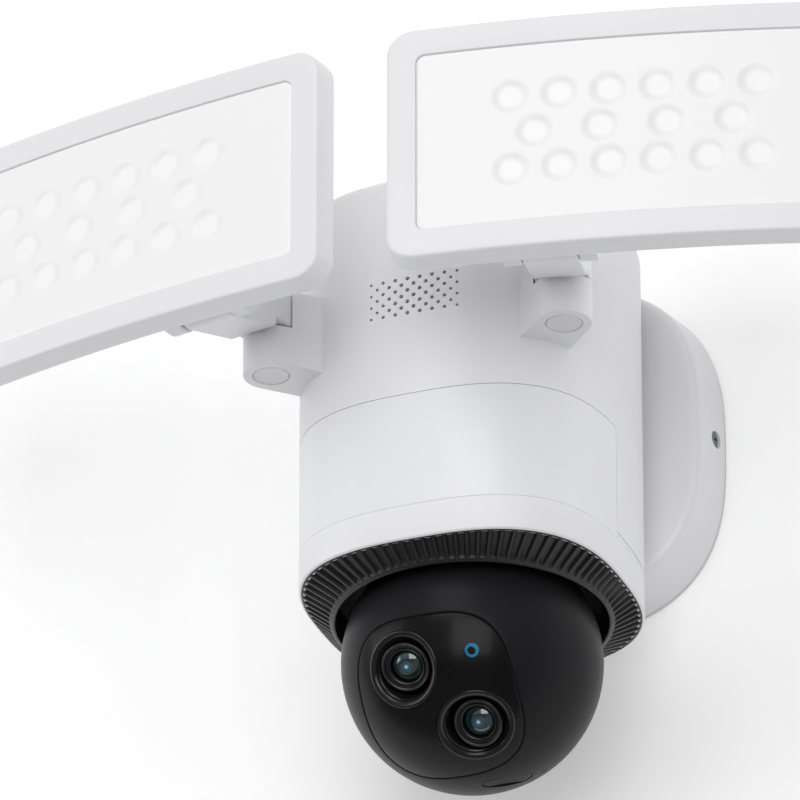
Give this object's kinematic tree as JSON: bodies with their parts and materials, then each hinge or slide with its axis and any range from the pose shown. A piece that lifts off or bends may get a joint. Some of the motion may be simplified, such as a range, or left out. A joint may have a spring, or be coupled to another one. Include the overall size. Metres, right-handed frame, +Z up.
{
  "type": "floodlight security camera",
  "caption": "Wall-mounted security camera with a ball camera that pans and tilts below a rounded column, and two curved light panels on jointed arms.",
  "frame": {"origin": "centre of the wall plate's footprint, on the wall face of the mounting bracket", "axes": "+Z up, -Y out of the wall towards the viewer, +X to the viewer's right"},
  "size_m": [0.3518, 0.1831, 0.2263],
  "materials": {
    "white_shell": "fine satin moulded surface",
    "arm_plugs": "fine satin moulded surface",
    "sensor_window": "smooth milky plastic that lets warmth through",
    "gasket": "soft grey rubber",
    "steel": "plain zinc-plated steel",
    "collar": "die-cast aluminium",
    "terminals": "ivory plastic",
    "circuit_boards": "green solder mask",
    "speaker": "black plastic and paper cone",
    "mesh": "black woven mesh",
    "antennas": "stamped metal strip",
    "ring": "black satin plastic with fine grooves",
    "drive_frame": "dark glass-filled plastic",
    "gears": "natural acetal",
    "ball": "black satin plastic",
    "face": "glossy black plastic",
    "bezels": "polished black ring",
    "barrels": "matt black baffles",
    "lens_glass": "coated lens glass",
    "status_light": "tinted translucent plastic",
    "diffusers": "milky translucent plastic",
    "led_boards": "white coated aluminium board",
    "led_chips": "yellow phosphor"
  },
  "bodies": {
    "base": {"wall_plate": "white_shell", "wall_gasket": "gasket", "mounting_bracket": "steel", "side_screws": "steel", "terminal_block": "terminals", "mount_collar": "collar", "housing_screws": "steel", "housing": "white_shell", "rear_cover": "white_shell", "sensor_window": "sensor_window", "sensor_board": "circuit_boards", "motion_sensors": "steel", "speaker": "speaker", "grille_mesh": "mesh", "main_board": "circuit_boards", "power_board": "circuit_boards", "antennas": "antennas", "left_arm": "white_shell", "right_arm": "white_shell", "left_arm_plug": "arm_plugs", "right_arm_plug": "arm_plugs", "camera_ring": "ring", "bearing_carrier": "drive_frame", "pan_bearing": "steel", "pan_motor": "steel"},
    "pan_head": {"turntable": "drive_frame", "pan_gear": "gears", "head_post": "steel", "tilt_gear": "gears"},
    "pan_drive": {"pan_pinion": "gears"},
    "tilt_head": {"ball_shell": "ball", "face_plate": "face", "chassis": "drive_frame", "tilt_shaft": "steel", "tilt_motor": "steel", "wide_lens_bezel": "bezels", "tele_lens_bezel": "bezels", "wide_lens_barrel": "barrels", "tele_lens_barrel": "barrels", "wide_lens_glass": "lens_glass", "tele_lens_glass": "lens_glass", "image_board": "circuit_boards", "status_light": "status_light", "card_cover": "ball"},
    "tilt_drive": {"tilt_pinion": "gears"},
    "reset_key": {"reset_button": "ball"},
    "left_swivel": {"left_knuckle": "white_shell"},
    "left_light": {"left_tilt_pin": "steel", "left_bracket": "white_shell", "left_panel_shell": "white_shell", "left_diffuser": "diffusers", "left_led_board": "led_boards", "left_led_chips": "led_chips"},
    "right_swivel": {"right_knuckle": "white_shell"},
    "right_light": {"right_tilt_pin": "steel", "right_bracket": "white_shell", "right_panel_shell": "white_shell", "right_diffuser": "diffusers", "right_led_board": "led_boards", "right_led_chips": "led_chips"}
  },
  "joints": [
    {"name": "pan", "type": "hinge", "parent": "base", "child": "pan_head", "pos_m": [0, -0.0684, -0.1024], "axis": [0, 0, 1], "range_deg": [-175, 175]},
    {"name": "pan_drive", "type": "hinge", "parent": "base", "child": "pan_drive", "pos_m": [-0.03031, -0.04718, -0.05], "axis": [0, 0, 1], "range_deg": [-751, 751]},
    {"name": "tilt", "type": "hinge", "parent": "pan_head", "child": "tilt_head", "pos_m": [0, -0.0684, -0.1024], "axis": [1, 0, 0], "range_deg": [-50, 50]},
    {"name": "tilt_drive", "type": "hinge", "parent": "tilt_head", "child": "tilt_drive", "pos_m": [0.01, -0.05176, -0.10813], "axis": [1, 0, 0], "range_deg": [-108, 108]},
    {"name": "reset_press", "type": "slide", "parent": "tilt_head", "child": "reset_key", "axis": [-0.4581, -0.3207, 0.829], "range_m": [0, 0.0008], "stiffness_N_per_m": 600},
    {"name": "left_arm_swivel", "type": "hinge", "parent": "base", "child": "left_swivel", "pos_m": [-0.05289, -0.12129, 0], "axis": [0, 0, 1], "range_deg": [-30, 8]},
    {"name": "left_light_tilt", "type": "hinge", "parent": "left_swivel", "child": "left_light", "pos_m": [-0.06125, -0.15748, 0.0025], "axis": [0.9744, -0.225, 0], "range_deg": [-20, 45]},
    {"name": "right_arm_swivel", "type": "hinge", "parent": "base", "child": "right_swivel", "pos_m": [0.05289, -0.12129, 0], "axis": [0, 0, 1], "range_deg": [-8, 30]},
    {"name": "right_light_tilt", "type": "hinge", "parent": "right_swivel", "child": "right_light", "pos_m": [0.06125, -0.15748, 0.0025], "axis": [0.9744, 0.225, 0], "range_deg": [-20, 45]}
  ],
  "couplings": [
    {"joint": "pan_drive", "follows": "pan", "ratio": -4.2857},
    {"joint": "tilt_drive", "follows": "tilt", "ratio": 2.1429}
  ]
}
